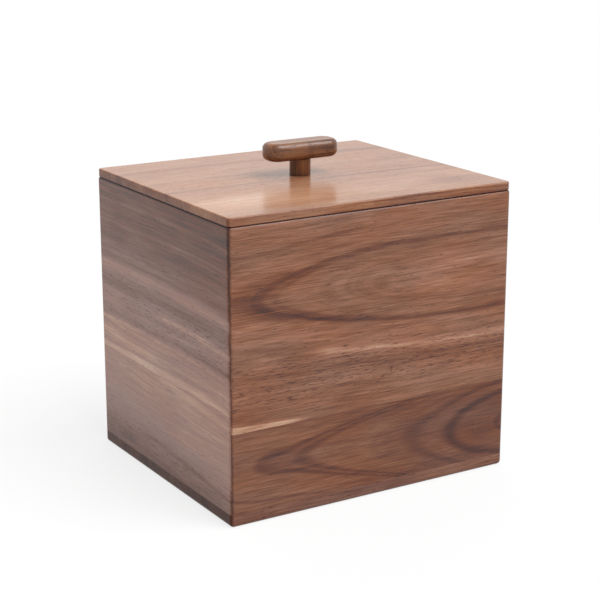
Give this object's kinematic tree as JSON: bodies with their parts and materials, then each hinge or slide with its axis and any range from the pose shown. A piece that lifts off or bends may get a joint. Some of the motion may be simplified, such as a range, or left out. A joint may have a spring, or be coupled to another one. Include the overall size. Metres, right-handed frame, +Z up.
{
  "type": "wooden spice box with lift-off lid",
  "caption": "Rectangular wooden kitchen box with mitred board walls, a glued base and a flat rebated lift-off lid with a T-shaped wooden handle in its centre.",
  "frame": {"origin": "centre of the base's underside, on the table", "axes": "+Z up, along the way the lid lifts; the wide front wall looks along -Y; +X to the right of someone facing the front"},
  "size_m": [0.15, 0.13, 0.1562],
  "materials": {
    "base_wood": "oiled and lacquered acacia, satin, dark end grain at the sides",
    "front_wood": "lacquered flat-sawn acacia, satin, wide arched grain",
    "side_wood": "lacquered acacia, satin, straight streaked grain",
    "lid_wood": "lacquered acacia, satin, fine straight grain",
    "handle_wood": "lacquered dark acacia, satin",
    "screw_steel": "zinc-plated steel"
  },
  "bodies": {
    "box": {"base_front_board": "base_wood", "base_back_board": "base_wood", "front_upper_board": "front_wood", "front_lower_board": "front_wood", "back_upper_board": "front_wood", "back_lower_board": "front_wood", "left_upper_board": "side_wood", "left_lower_board": "side_wood", "right_upper_board": "side_wood", "right_lower_board": "side_wood"},
    "lid": {"lid_front_board": "lid_wood", "lid_back_board": "lid_wood", "handle_stem": "handle_wood", "handle_bar": "handle_wood", "handle_screw": "screw_steel"}
  },
  "joints": [
    {"name": "lid_lift", "type": "slide", "parent": "box", "child": "lid", "axis": [0, 0, 1], "range_m": [0, 0.12]}
  ]
}
